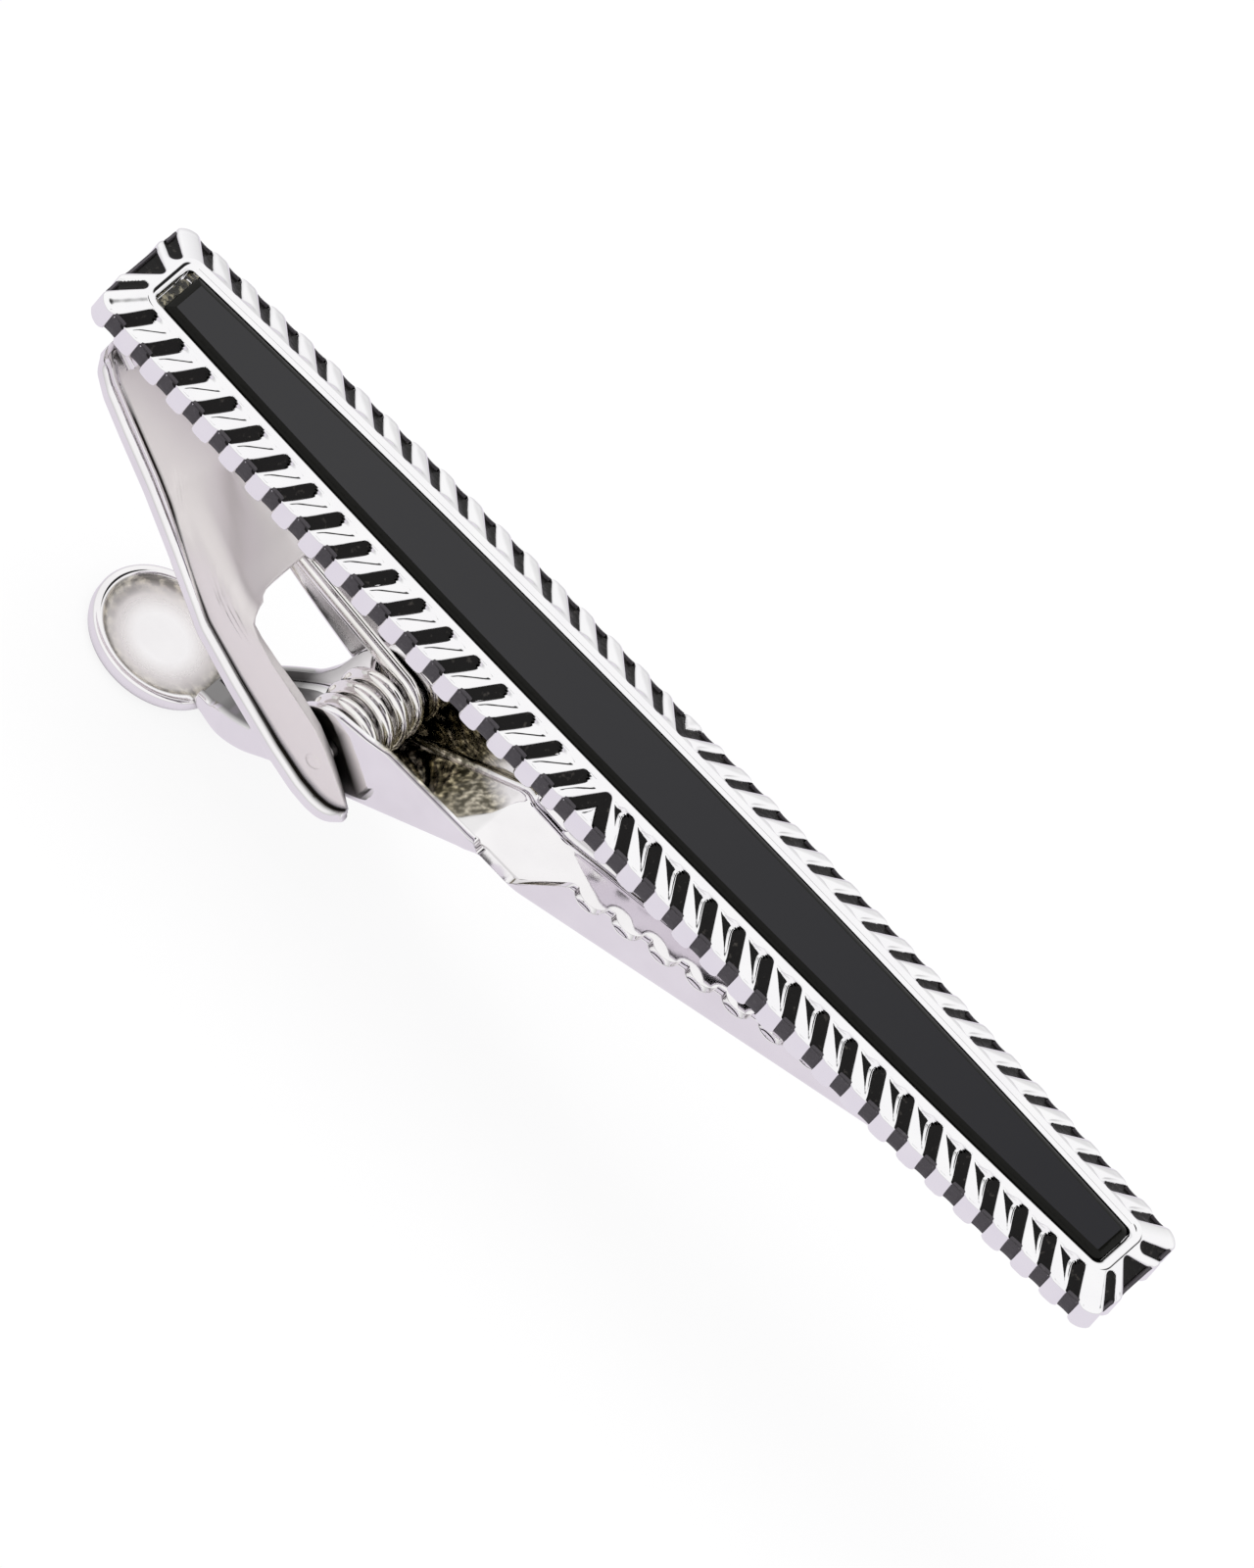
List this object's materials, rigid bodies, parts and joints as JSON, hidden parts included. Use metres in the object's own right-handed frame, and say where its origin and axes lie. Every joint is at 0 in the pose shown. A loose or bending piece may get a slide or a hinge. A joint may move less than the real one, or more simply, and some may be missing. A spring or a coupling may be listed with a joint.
{
  "type": "tie clip",
  "caption": "Tapered tie clip in bright silver metal with a black inlay, a rope-like border of slanted black notches, and a sprung alligator jaw on its back.",
  "frame": {"origin": "centre of the inlay's front face, in the plane of the bar's front rim", "axes": "+X along the bar, from the fixed arm's fold towards the jaw's tip; +Y across the bar; +Z out of the bar's front"},
  "size_m": [0.058, 0.0078, 0.0168],
  "materials": {
    "bar_metal": "polished rhodium plate",
    "enamel": "glossy black enamel",
    "inlay_stone": "satin-polished black slab",
    "glue": "clear yellowed glue",
    "clip_metal": "polished nickel plate on stamped sheet",
    "solder": "bright solder",
    "spring_wire": "nickel plated wire"
  },
  "bodies": {
    "bar_body": {"bar_frame": "bar_metal", "edge_enamel": "enamel", "inlay": "inlay_stone", "inlay_adhesive": "glue", "clip_arm": "clip_metal", "solder_joint": "solder", "torsion_spring": "spring_wire", "pivot_pin": "spring_wire"},
    "jaw_body": {"jaw_lever": "clip_metal"}
  },
  "joints": [
    {"name": "jaw_pivot", "type": "hinge", "parent": "bar_body", "child": "jaw_body", "pos_m": [-0.0099, 0, -0.01086], "axis": [0, 1, 0], "range_deg": [0, 24], "stiffness_Nm_per_rad": 0.06, "springref_deg": -51.57, "deforming": ["torsion_spring"]}
  ]
}
